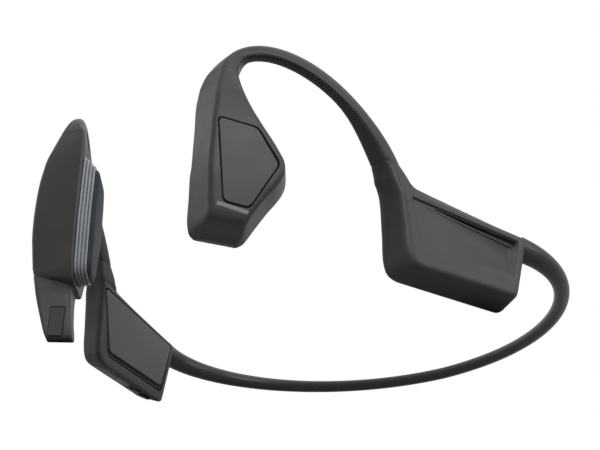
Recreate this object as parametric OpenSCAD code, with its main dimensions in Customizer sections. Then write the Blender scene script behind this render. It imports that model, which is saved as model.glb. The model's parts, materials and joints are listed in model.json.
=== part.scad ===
// Bone conduction headphones: two ear hooks on one springy neckband.
// Everything is drawn as worn (+X the wearer's left, +Y behind, +Z up, rear of the neckband at the
// origin) and then pitched back into the pose in which the headphones stand on a table.

/* [Neckband] */
// Side to side distance between the two junctions of the neckband
band_span = 128; // [120:1:140]
// Depth from the rear of the neckband to the junctions
band_depth = 41.5; // [36:0.5:50]
// Thickness of the neckband at its rear
band_thickness = 2.9; // [2.6:0.1:3.6]
// Thickness of the neckband where it enters a module
junction_thickness = 5.8; // [5.2:0.1:6.4]
// Diameter of the memory wire in the neckband and hooks
wire_diameter = 0.9; // [0.6:0.1:1]
// Angle that each side can be spread outwards
spread_angle = 20; // [10:1:22]

/* [Modules behind the ears] */
// Toe-in of each module, seen from above
module_toe = 17.5; // [12:0.5:22]
// Length of the module's top edge
module_length = 27; // [26:0.5:30]
// Height of the module at its front end
module_front_height = 17.7; // [16.7:0.1:19]
// Height of the module at its rear end
module_rear_height = 15.5; // [14.5:0.1:16.5]
// Thickness of the module, ear side to outer side
module_thickness = 8; // [7.6:0.1:10]
// Wall of all the housings
wall = 1.2; // [1:0.1:1.4]
// Depth of the recess of the panel on the outer side
panel_depth = 0.5; // [0.3:0.1:0.6]

/* [Ear hooks] */
// Width of the hook across the ear, at mid length
hook_width = 4.4; // [4:0.1:6]
// Depth of the hook along its arch radius, at mid length
hook_depth = 3.5; // [3.2:0.1:4.4]
// Rise of the hook out of the pod before it bends
arch_rise = 14.4; // [13:0.2:17]
// Run of the hook into the module after its bend
arch_reach = 25.5; // [20:0.5:27]

/* [Pods before the ears] */
// Distance from the centre plane to the middle of each pod
pod_offset = 30.1; // [26:0.1:36]
// Distance from the rear of the neckband to the pods
pod_reach = 109.1; // [100:0.1:116]
// Toe-in of each pod, seen from above
pod_toe = 41; // [34:1:46]
// Lean of each pod, its foot towards the cheek
pod_lean = 7.2; // [4:0.2:12]
// Thickness of the pod housing
pod_thickness = 12.2; // [11.4:0.1:14]
// Depth of the folded bellows between pod and contact pad
bellows_depth = 3; // [2.8:0.1:4]
// Thickness of the contact pad
pad_thickness = 1; // [0.9:0.1:1.4]
// Travel of the contact pad
pad_travel = 0.6; // [0.3:0.1:0.8]
// Diameter of the transducer
transducer_diameter = 9.6; // [8.6:0.2:9.8]
// Length of the microphone chin under the right pod
chin_length = 17; // [14:0.5:18]

/* [Controls] */
// Thickness of the multifunction plate
plate_thickness = 1; // [0.8:0.1:1.2]
// Travel of the multifunction plate
plate_travel = 0.4; // [0.2:0.1:0.5]
// Length of the volume buttons
volume_length = 3.8; // [3.2:0.1:4]
// Width of the volume buttons
volume_width = 3.2; // [2.6:0.1:3.4]
// Travel of the volume buttons
volume_travel = 0.4; // [0.2:0.1:0.5]
// Length of the charging port cover
flap_length = 15; // [13:0.5:15.5]
// Width of the charging port cover
flap_width = 4.6; // [4.4:0.1:5]
// Running clearance around moving pieces
clearance = 0.25; // [0.2:0.05:0.3]

/* [Hidden] */

// ---- shapes -------------------------------------------------------------------------------
function turn_z(p, a) = [p.x * cos(a) - p.y * sin(a), p.x * sin(a) + p.y * cos(a), p.z];
function turn_y(p, a) = [p.x * cos(a) + p.z * sin(a), p.y, -p.x * sin(a) + p.z * cos(a)];
function mix(a, b, t) = a + (b - a) * t;
function ease(t) = let (s = min(1, max(0, t))) s * s * (3 - 2 * s);
function unit(v) = v / norm(v);
function bezier(p, t) = p[0] * pow(1 - t, 3) + p[1] * 3 * t * pow(1 - t, 2)
    + p[2] * 3 * t * t * (1 - t) + p[3] * pow(t, 3);
function bezier_speed(p, t) = 3 * ((p[1] - p[0]) * pow(1 - t, 2)
    + (p[2] - p[1]) * 2 * t * (1 - t) + (p[3] - p[2]) * t * t);

// One corner q between p and r, rounded over a length
function corner(p, q, r, length, steps) = let (
        a = unit(p - q) * min(length, norm(p - q) * 0.45),
        b = unit(r - q) * min(length, norm(r - q) * 0.45))
    [for (i = [0:steps]) let (t = i / steps) q + a * pow(1 - t, 2) + b * pow(t, 2)];
// A closed outline with every corner rounded
function rounded(points, length, steps = 3) = let (n = len(points))
    [for (i = [0:n - 1]) each corner(points[(i + n - 1) % n], points[i], points[(i + 1) % n],
        length, steps)];
function turning(p, q) = p.x * q.y - q.x * p.y;
// An outline with each edge moved in by d
function moved_in(points, d) = let (n = len(points),
        area = [for (i = [0:n - 1]) turning(points[i], points[(i + 1) % n])],
        way = area * [for (i = [0:n - 1]) 1] > 0 ? 1 : -1)
    [for (i = [0:n - 1]) let (
        q = points[i],
        a = unit(q - points[(i + n - 1) % n]), b = unit(points[(i + 1) % n] - q),
        middle = [-a.y - b.y, a.x + b.x] * way)
        q + middle * (2 * d / (middle * middle))];

// A solid through rings that all have as many points
module loft(rings) {
    n = len(rings[0]);
    m = len(rings);
    points = [for (r = rings) each r];
    sides = [for (j = [0:m - 2], i = [0:n - 1])
        let (a = j * n + i, b = j * n + (i + 1) % n, c = a + n, d = b + n)
        each [[a, d, b], [a, c, d]]];
    ends = [[for (i = [0:n - 1]) i], [for (i = [n - 1:-1:0]) (m - 1) * n + i]];
    polyhedron(points, concat(sides, ends), convexity = 6);
}
// A tube between outer rings and inner rings of half as many points
module hollow_loft(outer, inner) {
    n = len(outer[0]);
    k = len(inner[0]);
    m = len(outer);
    base = n * m;
    points = concat([for (r = outer) each r], [for (r = inner) each r]);
    skin = [for (j = [0:m - 2], i = [0:n - 1])
        let (a = j * n + i, b = j * n + (i + 1) % n, c = a + n, d = b + n)
        each [[a, d, b], [a, c, d]]];
    bore = [for (j = [0:m - 2], i = [0:k - 1])
        let (a = base + j * k + i, b = base + j * k + (i + 1) % k, c = a + k, d = b + k)
        each [[a, b, d], [a, d, c]]];
    rims = [for (i = [0:n - 1], end = [0, m - 1])
        let (a = end * n + i, b = end * n + (i + 1) % n,
            c = base + end * k + floor(i * k / n), d = base + end * k + floor((i + 1) * k / n) % k,
            quad = end == 0 ? [[a, b, d], [a, d, c]] : [[a, d, b], [a, c, d]])
        each (c == d ? [quad[0]] : quad)];
    polyhedron(points, concat(skin, bore, rims), convexity = 6);
}
// A prism along X from its outline in Y and Z
module slab(x0, x1, outline) {
    translate([x0, 0, 0]) rotate([90, 0, 90]) linear_extrude(x1 - x0) polygon(outline);
}
// A round bar along X
module bar_x(x0, x1, at, d) {
    translate([x0, at.x, at.y]) rotate([0, 90, 0]) cylinder(h = x1 - x0, d = d, $fn = 48);
}
// A block with round ends along Y, its flat sides level
module pill(length, width, z0, z1) {
    translate([0, 0, z0]) linear_extrude(z1 - z0) {
        translate([-width / 2, -length + width / 2]) square([width, length - width]);
        for (y = [-width / 2, width / 2 - length])
            translate([0, y]) circle(d = width, $fn = 40);
    }
}

// ---- placing ------------------------------------------------------------------------------
module_at = [band_span / 2, -band_depth - 2.4, 0];
pod_at = [pod_offset, -pod_reach, 0];
function from_module(p) = module_at + turn_z(p, -module_toe);
function from_pod(p) = pod_at + turn_z(turn_y(p, pod_lean), -pod_toe);
chin_top = -15.8;

module on_right() {
    worn() mirror([1, 0, 0]) children();
}
// Module frame: X outwards, Y backwards from the module's rear face, Z up
module in_module() {
    translate(module_at) rotate([0, 0, -module_toe]) children();
}
// Pod frame: X outwards, Y backwards, Z up along the leaning pod
module in_pod() {
    translate(pod_at) rotate([0, 0, -pod_toe]) rotate([0, pod_lean, 0]) children();
}

// ---- neckband -----------------------------------------------------------------------------
bend_at = 0.45; // share of the half band at which its side springs
bend_gap = 0.15;
band_drop = 0.5; // the band's end lies this far below the worn frame's level
band_end = from_module([0, 0, -band_drop]);
band_curve = [[0, 0, 0], [band_span * 0.33, 0, 0.5], band_end + turn_z([0.5, 21.5, 0], -module_toe),
    band_end];
bore_size = wire_diameter + 1.1;
wire_shift = 0.35;
cable_shift = -0.45;
cable_diameter = 0.5;
function band_size(t) = mix(band_thickness, junction_thickness, pow(max(0, t), 2.8));
function band_way(t) = unit(bezier_speed(band_curve, t));
function band_after(mm) = bend_at + mm / norm(bezier_speed(band_curve, bend_at));
// Ring at t, turned about the upright by twist and stretched so that the band keeps its width
function band_ring(t, size, twist = 0, facets = 16, shift = 0) = let (
        way = band_way(t), side = turn_z([way.y, -way.x, 0], twist) / cos(twist))
    [for (i = [0:facets - 1]) let (a = 360 * (i + 0.5) / facets)
        bezier(band_curve, t) - side * (size / 2 * cos(a) + shift) + [0, 0, size / 2 * sin(a)]];
function mirrored(ring) = [for (p = ring) [-p.x, p.y, p.z]];
function band_both(t, size, facets, shift = 0) = t < 0
    ? mirrored(band_ring(-t, size, 0, facets, shift)) : band_ring(t, size, 0, facets, shift);
bend_size = band_size(bend_at);
bend_twist = -spread_angle - 2;

module neckband_sleeve() {
    steps = 18;
    last = band_after(-bend_gap);
    color("#1b1b1c") worn() hollow_loft(
        [for (i = [-steps:steps]) band_both(last * i / steps, band_size(last * abs(i) / steps), 16)],
        [for (i = [-steps:steps]) band_both(last * i / steps, bore_size, 8)]);
}
module band_strand(diameter, shift) {
    steps = 22;
    last = 1.02;
    worn() loft([for (i = [-steps:steps]) band_both(last * i / steps, diameter, 8, shift)]);
}
module memory_wire() {
    color("silver") band_strand(wire_diameter, wire_shift);
}
module neckband_cable() {
    color("firebrick") band_strand(cable_diameter, cable_shift);
}
module side_sleeve() {
    steps = 16;
    first = band_after(bend_gap + tan(-bend_twist) * bend_size / 2);
    next = band_after(2.5 * bend_gap + tan(-bend_twist) * bend_size);
    stations = [for (i = [0:steps]) mix(next, 1, i / steps)];
    hollow_loft(
        concat([band_ring(first, band_size(first), bend_twist)],
            [for (t = stations) band_ring(t, band_size(t))]),
        concat([band_ring(first, bore_size, bend_twist, 8)],
            [for (t = stations) band_ring(t, bore_size, 0, 8)]));
}

// ---- modules ------------------------------------------------------------------------------
half_thick = module_thickness / 2;
seam_height = 6.5; // height of the seam between hook and stem
stem_rake = module_length + 9; // how far the seam's middle lies before the module's rear face
arch_fall = 53.5; // slope of the hook at the seam
base_slant = 2.1; // the base is lower on the ear side
base_roll = atan(base_slant / module_thickness);
base_rise = atan((module_front_height - module_rear_height) / module_length);
function module_height(x, y) = mix(module_rear_height, module_front_height, -y / module_length)
    - x / module_thickness * base_slant;
// A level section; heights below 0 are shares of the module's height
function module_section(z, out, inn, rear_out, front_out, front_in, rear_in, length = 1.5) =
    [for (p = rounded([[out[0], rear_out], [out[1], front_out], [inn[1], front_in],
        [inn[0], rear_in]], length)) [p.x, p.y, z < 0 ? z * module_height(p.x, p.y) : z]];
// One whose rear and front corners lie the given depths under the module's faces
function module_level(z, rear_under, front_under, rear, front_out, front_in, length = 1.5) =
    module_section(z, [half_thick - rear_under, half_thick - front_under],
        [rear_under - half_thick, front_under - half_thick], rear, front_out, front_in, rear, length);
tip = -module_length;
stem_ring = module_section(seam_height, [2.7, 2.7], [-3.7, -3.7], -stem_rake + 2.1,
    -stem_rake - 1.6, -stem_rake - 2.6, -stem_rake + 1.9);
module_rings = [
    stem_ring,
    module_section(4.2, [3.1, 3.1], [-3.9, -3.9], tip - 5, tip - 9.1, tip - 11.2, tip - 5),
    module_section(2.7, [3.2, 3.4], [-3.8, -4], tip - 3.8, tip - 8.3, tip - 10.6, tip - 3.8),
    module_level(1.9, 0.8, 0.4, tip - 2.4, tip - 7.8, tip - 10),
    module_level(1.5, 2.6, 0.3, -1, tip - 7.6, tip - 9.8),
    module_level(0.8, 1, 0.2, -0.4, tip - 7.2, tip - 9.4),
    module_level(-0.01, 0.1, 0, 0, tip - 6.7, tip - 8.9),
    module_level(-0.45, 0, 0, 0, tip - 4, tip - 6.6),
    module_level(-0.84, 0, 0, 0, tip - 1.7, tip - 4.7),
    module_level(-0.94, 0, 0, -0.2, tip - 0.4, tip - 3.4),
    module_level(-0.985, 0.3, 0.3, -0.9, tip + 0.9, tip - 1.6, 1.4),
    module_level(-1, 0.8, 0.8, -1.9, tip + 2.4, tip, 1.2)];
cover_seat = 1.1; // depth of the recess that holds the inner cover
seal_thickness = 0.3;
cover_outline = [[-1.7, -0.5], [-1.7, 2.3 - module_rear_height],
    [tip - 3, 2.3 - module_front_height], [tip - 7.4, -0.5]];
cavity_outline = moved_in(cover_outline, 1);
cavity_in = -half_thick + cover_seat;
cavity_out = half_thick - panel_depth - wall;
panel_outline = [[-2.4, -1], [-2.4, 5.6 - module_rear_height], [tip + 1.6, 5.4 - module_front_height],
    [tip - 3.4, -0.8]];

module module_shell() {
    difference() {
        in_module() loft(module_rings);
        in_module() {
            slab(cavity_in, cavity_out, cavity_outline);
            slab(-half_thick - 1, cavity_in + 0.01, moved_in(cover_outline, -0.15));
            slab(half_thick - panel_depth, half_thick + 1, panel_outline);
            // channels for the wire and cable: stem before, band behind
            translate([0, -stem_rake, seam_height]) rotate([270 - arch_fall, 0, 0])
                translate([0, 0, -3]) cylinder(h = 16, d = bore_size, $fn = 32);
            translate([0, 1.5, -band_drop]) rotate([90, 0, 0])
                cylinder(h = 4, d = bore_size, $fn = 32);
        }
    }
}
module module_cover() {
    in_module() slab(-half_thick, cavity_in - seal_thickness, cover_outline);
}
module cover_seal() {
    in_module() difference() {
        slab(cavity_in - seal_thickness, cavity_in, cover_outline);
        slab(-half_thick, half_thick, cavity_outline);
    }
}
module outer_panel() {
    in_module() slab(half_thick - panel_depth, half_thick - 0.2, moved_in(panel_outline, 0.15));
}
// Frame on the module's base: X outwards, Y backwards, Z into the module
module in_base() {
    in_module() translate([0, 0, -module_rear_height]) rotate([base_rise, 0, 0])
        rotate([0, -base_roll, 0]) children();
}

// ---- ear hooks ----------------------------------------------------------------------------
pod_neck = 20.2; // height of the seam on the pod
neck_middle = [-3.1, -1.6];
seam_middle = from_module([0, -stem_rake, seam_height]);
arch = [from_pod([neck_middle.x, neck_middle.y, pod_neck]),
    from_pod([neck_middle.x - 0.7, neck_middle.y - 1.4, pod_neck + arch_rise]),
    seam_middle - turn_z([0, cos(arch_fall), -sin(arch_fall)], -module_toe) * arch_reach,
    seam_middle];
hook_steps = 22;
// Corners in the hook's own section: outer top, outer under, inner under, inner top
neck_corners = [[3.7, 0.6], [3.7, -3], [-3.7, -2.8], [-3.7, 5]];
hook_rounding = 1.9; // gives the hook its domed top
hook_corners = [[hook_width * 0.32, hook_depth * 0.5], [hook_width * 0.5, -hook_depth * 0.45],
    [-hook_width * 0.5, -hook_depth * 0.45], [-hook_width * 0.27, hook_depth * 0.54]];
neck_ring = [for (p = rounded(neck_corners, 1.5))
    [neck_middle.x + p.x, neck_middle.y - p.y, pod_neck]];
neck_placed = [for (p = neck_ring) from_pod(p)];
stem_placed = [for (p = stem_ring) from_module(p)];
function hook_frame(t) = let (
        way = unit(bezier_speed(arch, min(1, max(0, t)))),
        out = mix(from_pod([1, 0, 0]) - pod_at, from_module([1, 0, 0]) - module_at, ease(t)),
        side = unit(out - way * (out * way)))
    [bezier(arch, t), side, cross(side, way)];
function hook_ring(t) = let (
        f = hook_frame(t), a = ease(1 - t / 0.2), b = ease((t - 0.7) / 0.3),
        plain = rounded(hook_corners, hook_rounding))
    [for (i = [0:len(plain) - 1]) (f[0] + f[1] * plain[i].x + f[2] * plain[i].y) * (1 - a - b)
        + (neck_placed[i] + f[0] - arch[0]) * a + (stem_placed[i] + f[0] - arch[3]) * b];
// Starts at the same corner as the hook's ring, so that the end caps between them lie flat
function strand_ring(t, d, shift = 0) = let (f = hook_frame(t), facets = 8)
    [for (i = [0:facets - 1]) let (a = -360 * (i - 1.5) / facets)
        f[0] + f[1] * (shift + d / 2 * cos(a)) + f[2] * (d / 2 * sin(a))];
// The bore's ring at an end of the hook, moved along the wire into the seam that n stands on
function seam_ring(t, n) = let (f = hook_frame(t), way = cross(f[2], f[1]))
    [for (p = strand_ring(t, bore_size)) p - way * (((p - f[0]) * n) / (way * n))];
module ear_hook() {
    hollow_loft([for (i = [0:hook_steps]) hook_ring(i / hook_steps)],
        concat([seam_ring(0, from_pod([0, 0, 1]) - pod_at)],
            [for (i = [1:hook_steps - 1]) strand_ring(i / hook_steps, bore_size)],
            [seam_ring(1, [0, 0, 1])]));
}
module hook_strand(diameter, shift) {
    loft([for (t = concat([-0.03], [for (i = [0:hook_steps]) i / hook_steps], [1.03]))
        strand_ring(t, diameter, shift)]);
}

// ---- pods ---------------------------------------------------------------------------------
pod_out = pod_thickness * 0.4; // outer face
pod_in = -pod_thickness * 0.6; // face that carries the bellows
// Level section: outer front, outer rear, inner rear, inner front
function pod_section(z, x_out, x_in, front_out, rear_out, rear_in, front_in, length = 1.3) =
    [for (p = rounded([[x_out, front_out], [x_out, rear_out], [x_in, rear_in],
        [x_in, front_in]], length)) [p.x, p.y, z]];
pod_rings = [
    pod_section(-18.8, pod_in + 1.8, pod_in, 0.2, 8.2, 8.6, -1.4, 0.7),
    pod_section(-18, pod_in + 4, pod_in, 0.4, 9.2, 9.8, -2.7, 1),
    pod_section(-15.8, pod_out - 1.6, pod_in, 1.7, 10.4, 11, -3.7),
    pod_section(-14.6, pod_out - 1, pod_in, 1.7, 10.9, 11.5, -4),
    pod_section(-10, pod_out - 0.4, pod_in, 0.8, 13.1, 13.6, -4.6),
    pod_section(-4.4, pod_out, pod_in, -0.3, 16.1, 16.3, -5.4),
    pod_section(-3, pod_out, pod_in, -0.5, 16.4, 16.6, -5.5),
    pod_section(-1, pod_out, pod_in, -0.8, 16, 16.5, -5.7),
    pod_section(2, pod_out - 0.1, pod_in, -1.1, 14, 14.6, -6.1),
    pod_section(8, pod_out - 0.6, pod_in, -1.8, 8.8, 9.6, -6.9),
    pod_section(11, pod_out - 1.1, pod_in, -2, 6.4, 6.9, -7.1),
    pod_section(14, pod_out - 1.7, pod_in, -2.1, 4.3, 4.7, -7.1),
    pod_section(17, pod_out - 2.8, pod_in + 0.2, -2.1, 2.6, 2.8, -6.9),
    neck_ring];
// Outlines in Y and Z
bellows_top = 13.8;
function bellows_outline(d) = [[-6.4, bellows_top - d], [-5.6, -4], [-3.6, -16.6], [-1.2, -18.6],
    [8.4 - d * 0.3, -18.6], [10 - d * 0.4, -17], [16.2 - d * 0.7, -3], [8.6 - d * 0.3, 7.8],
    [4 + d * 0.45, bellows_top - d]];
plate_outline = [[-0.6, 7.1], [4.4, -12.3], [10.3, -12.8], [14.9, -1.6], [8.4, 6.1]];
pod_cavity = [[0.8, 8], [1.6, -1], [3.4, -12.8], [9.4, -12.8], [13.8, -2.8], [7, 8]];
gasket_thickness = 0.2;
plate_face = pod_out - 0.4; // outer face of the plate
plate_inner = plate_face - plate_thickness;
recess_floor = plate_inner - plate_travel - gasket_thickness - 0.2;
cavity_floor = recess_floor - wall;
plunger_at = [6.6, -2];
plunger_diameter = 1.6;
switch_height = 0.9;
switch_gap = 0.1;

module pod_shell(recess, chin) {
    difference() {
        in_pod() {
            loft(pod_rings);
            if (chin) loft(chin_rings);
        }
        in_pod() {
            slab(pod_in - 2, cavity_floor, pod_cavity);
            slab(recess, pod_out + 2, moved_in(plate_outline, -clearance));
            // channel for the wire and cable
            translate([neck_middle.x, neck_middle.y, 5])
                cylinder(h = 20, d = bore_size, $fn = 32);
            translate([neck_middle.x, neck_middle.y, 6]) rotate([-90, 0, 0])
                cylinder(h = 6, d = bore_size, $fn = 32);
            if (!chin)
                bar_x(cavity_floor - 1, recess + 1, plunger_at, plunger_diameter + 2 * clearance);
            if (chin) microphone_recess();
        }
    }
}
module pod_plate(inner_face) {
    slab(inner_face, plate_face, rounded(plate_outline, 1.1));
}
folds = 4;
rib_inset = 0.4; // the ribs stand back this far from their outline
fold = bellows_depth / (2 * folds - 1);
module bellows() {
    in_pod() difference() {
        for (i = [0:2 * folds - 2])
            slab(pod_in - (i + 1) * fold, pod_in - i * fold + (i > 0 ? 0.01 : 0),
                moved_in(bellows_outline(i * fold), i % 2 == 0 ? rib_inset : rib_inset + 0.7));
        slab(pod_in - bellows_depth - 1, pod_in + 1,
            moved_in(bellows_outline(bellows_depth), rib_inset + 1.4));
    }
}
pad_in = pod_in - bellows_depth;
module contact_pad() {
    in_pod() {
        slab(pad_in - pad_thickness * 0.6, pad_in, moved_in(bellows_outline(bellows_depth), 0.8));
        slab(pad_in - pad_thickness, pad_in, moved_in(bellows_outline(bellows_depth + 1), 1.6));
    }
}
transducer_at = [7.3, -4.4];
coil_diameter = transducer_diameter - 2.2;
yoke_face = 0.8;
yoke_back = cavity_floor - switch_height - switch_gap - 1.2;
yoke_front = pod_in + 1;
module yoke() {
    in_pod() difference() {
        bar_x(yoke_front, yoke_back, transducer_at, transducer_diameter);
        bar_x(yoke_front - 1, yoke_back - yoke_face, transducer_at, transducer_diameter - 1.4);
    }
}
magnet_diameter = coil_diameter - 1.8;
module magnet() {
    in_pod() bar_x(yoke_front, yoke_back - yoke_face, transducer_at, magnet_diameter);
}
coil_front = yoke_front - 0.8 - pad_travel;
// The coil rides on a post under the contact pad
module voice_coil() {
    in_pod() {
        difference() {
            bar_x(coil_front, yoke_back - yoke_face - pad_travel - 1, transducer_at, coil_diameter);
            bar_x(yoke_front - pad_travel - 0.3, yoke_back, transducer_at, coil_diameter - 1);
        }
        bar_x(pad_in, coil_front, transducer_at, coil_diameter - 3);
    }
}
board_thickness = 0.8;
module pod_board() {
    in_pod() slab(yoke_back + 0.1, yoke_back + 0.1 + board_thickness, moved_in(pod_cavity, 0.3));
}

// ---- the microphone chin, right side only ---------------------------------------------------
// A level section of the chin at a share of its length
function chin_section(share, x_out, x_in, front, rear, length = 1) =
    pod_section(chin_top - chin_length * share, x_out, x_in, front, rear, rear, front, length);
function chin_ring(share) = chin_section(share, -2.3, -7.8, 1.2, 3.4, 0.8);
chin_rings = [
    chin_ring(1),
    chin_section(0.95, -1.2, -8, 0.5, 4.2, 0.8),
    chin_section(0.7, 0.2, -7.2, 0.1, 5),
    chin_section(0.35, 2, -6.5, 0, 6.6),
    chin_section(0.1, 3.1, -6.5, 0.9, 8.6),
    chin_section(0, 3.2, -6.9, 1.6, 9.4)];

// The headphones stand on the chin's foot and the rear corners of both modules' bases
foot_points = [for (p = chin_ring(1)) from_pod(p)];
base_points = [for (r = [len(module_rings) - 3:len(module_rings) - 1], p = module_rings[r])
    from_module(p)];
rest_pitch = max([for (f = foot_points) min([for (b = base_points)
    atan2(b.z - f.z, b.y - f.y)])]);
function pitched(p) = [p.x, p.y * cos(rest_pitch) + p.z * sin(rest_pitch),
    p.z * cos(rest_pitch) - p.y * sin(rest_pitch)];
rest_front = min([for (r = chin_rings, p = r) pitched(from_pod(p)).y]);
rest_shift = -(rest_front + band_thickness / 2) / 2;
rest_lift = -min([for (f = foot_points) pitched(f).z]);

module worn() {
    translate([0, rest_shift, rest_lift]) rotate([-rest_pitch, 0, 0]) children();
}
window_width = 3.6;
window_height = 7.6;
window_seat = 0.8; // Y of the recess's floor
grille_thickness = 0.6;
microphone_depth = 1.1;
window_middle = [-3.9, chin_top - chin_length * 0.76];
module window_block(width, height, y0, y1) {
    translate([window_middle.x - width / 2, y0, window_middle.y - height / 2])
        cube([width, y1 - y0, height]);
}
module microphone_recess() {
    window_block(window_width, window_height, -3, window_seat);
    window_block(3, 4, -3, window_seat + microphone_depth + 0.1);
}

// ---- nodes --------------------------------------------------------------------------------
charcoal = "#4a4a4b";
slate = "#43484d";
module left_neckband_sleeve() {
    color("#1b1b1c") worn() side_sleeve();
}
module right_neckband_sleeve() {
    color("#1b1b1c") on_right() side_sleeve();
}
module left_module_housing() {
    color(charcoal) worn() module_shell();
}
port_end = -11.2; // rear end of the port cover's recess
flap_thickness = 0.9;
flap_seat = 1.1;
socket_size = [3.2, 8.9, 6];
socket_shift = 0.5; // keeps the leaning socket clear of the inner cover
socket_wall = 0.35;
socket_middle = port_end - flap_length / 2;
volume_first = port_end + 0.9 + volume_length;
volume_ends = [volume_first, volume_first + volume_length + 2 * clearance + 0.3];
volume_proud = 0.3;
volume_height = 1.9;
module right_module_housing() {
    color(charcoal) on_right() difference() {
        module_shell();
        in_base() {
            translate([0, port_end + clearance, 0])
                pill(flap_length + 2 * clearance, flap_width + 2 * clearance, -2, flap_seat);
            socket_block(0.2);
            for (y = volume_ends) translate([0, y + clearance, 0])
                pill(volume_length + 2 * clearance, volume_width + 2 * clearance, -2, 5);
        }
    }
}
module left_module_cover() {
    color(charcoal) worn() module_cover();
}
module right_module_cover() {
    color(charcoal) on_right() module_cover();
}
module left_outer_panel() {
    color("#565657") worn() outer_panel();
}
module right_outer_panel() {
    color("#565657") on_right() outer_panel();
}
module left_cover_seal() {
    color("dimgray") worn() cover_seal();
}
module right_cover_seal() {
    color("dimgray") on_right() cover_seal();
}
cell_outline = moved_in(cavity_outline, 0.4);
cell_top = -3.1;
module battery_cell() {
    color("silver") worn() in_module() difference() {
        slab(cavity_in, cavity_out - 0.3, cell_outline);
        translate([-10, -60, cell_top]) cube([20, 80, 20]);
    }
}
module battery_board() {
    color("darkgreen") worn() in_module() intersection() {
        slab(cavity_in + 0.6, cavity_out - 0.9, cell_outline);
        translate([-10, -24, cell_top + 0.2]) cube([20, 16, 0.8]);
    }
}
board_in = cavity_in + 0.3;
// The socket's block, grown on all sides
module socket_block(grow) {
    translate([socket_shift - socket_size.x / 2, socket_middle - socket_size.y / 2, flap_seat + 0.1])
        translate(-grow * [1, 1, 1]) cube(socket_size + 2 * grow * [1, 1, 1]);
}
module main_board() {
    color("darkgreen") on_right() difference() {
        in_module() {
            slab(board_in, board_in + board_thickness, moved_in(cavity_outline, 0.3));
            translate([board_in + board_thickness, tip + 1, -6.4]) cube([1.2, 6, 4]);
            translate([board_in + board_thickness, tip + 12, -5.4]) cube([0.9, 8, 3]);
        }
        in_base() socket_block(0.1);
    }
}
module usb_socket() {
    color("gainsboro") on_right() in_base() difference() {
        socket_block(0);
        translate([0, 0, -1.2]) socket_block(-socket_wall);
    }
}
module port_cover() {
    color(slate) on_right() in_base() {
        translate([0, port_end, 0]) pill(flap_length, flap_width, 0, flap_thickness);
        translate([socket_shift - 0.9, socket_middle - 3, flap_thickness - 0.1]) cube([1.8, 6, 1]);
    }
}
module volume_button(at) {
    color(slate) on_right() in_base() translate([0, at, 0])
        pill(volume_length, volume_width, -volume_proud, volume_height);
}
module volume_up_button() {
    volume_button(volume_ends[0]);
}
module volume_down_button() {
    volume_button(volume_ends[1]);
}
module volume_switch(at) {
    color("silver") on_right() in_base()
        translate([-1.2, at - volume_length / 2 - 1.3, volume_height + volume_travel + switch_gap])
            cube([2.4, 2.6, 1.2]);
}
module volume_up_switch() {
    volume_switch(volume_ends[0]);
}
module volume_down_switch() {
    volume_switch(volume_ends[1]);
}
module left_ear_hook() {
    color(charcoal) worn() ear_hook();
}
module right_ear_hook() {
    color(charcoal) on_right() ear_hook();
}
module left_hook_wire() {
    color("silver") worn() hook_strand(wire_diameter, wire_shift);
}
module right_hook_wire() {
    color("silver") on_right() hook_strand(wire_diameter, wire_shift);
}
module left_hook_cable() {
    color("firebrick") worn() hook_strand(cable_diameter, cable_shift);
}
module right_hook_cable() {
    color("firebrick") on_right() hook_strand(cable_diameter, cable_shift);
}
module left_pod_housing() {
    color(charcoal) worn() pod_shell(recess_floor, false);
}
module right_pod_housing() {
    color(charcoal) on_right() pod_shell(plate_inner, true);
}
module multifunction_button() {
    color(slate) worn() in_pod() {
        pod_plate(plate_inner);
        bar_x(cavity_floor + plate_travel, plate_inner, plunger_at, plunger_diameter);
    }
}
module right_pod_plate() {
    color(slate) on_right() in_pod() pod_plate(plate_inner);
}
module button_gasket() {
    color("dimgray") worn() in_pod() difference() {
        bar_x(recess_floor, recess_floor + gasket_thickness, plunger_at, plunger_diameter + 3);
        bar_x(recess_floor - 1, recess_floor + 1, plunger_at, plunger_diameter + 1);
    }
}
module button_switch() {
    color("silver") worn() in_pod()
        translate([cavity_floor - switch_gap - switch_height, plunger_at.x - 1.5, plunger_at.y - 1.5])
            cube([switch_height, 3, 3]);
}
module left_pod_board() {
    color("darkgreen") worn() pod_board();
}
module right_pod_board() {
    color("darkgreen") on_right() pod_board();
}
module left_yoke() {
    color("silver") worn() yoke();
}
module right_yoke() {
    color("silver") on_right() yoke();
}
module left_magnet() {
    color("gray") worn() magnet();
}
module right_magnet() {
    color("gray") on_right() magnet();
}
module left_voice_coil() {
    color("peru") worn() voice_coil();
}
module right_voice_coil() {
    color("peru") on_right() voice_coil();
}
module left_bellows() {
    color("#8b8e92") worn() bellows();
}
module right_bellows() {
    color("#8b8e92") on_right() bellows();
}
module left_contact_pad() {
    color(slate) worn() contact_pad();
}
module right_contact_pad() {
    color(slate) on_right() contact_pad();
}
module microphone_grille() {
    color("#222222") on_right() in_pod()
        window_block(window_width - 0.2, window_height - 0.2, window_seat - grille_thickness, window_seat);
}
module microphone() {
    color("gold") on_right() in_pod()
        window_block(2.65, 3.5, window_seat + 0.1, window_seat + microphone_depth);
}

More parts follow.
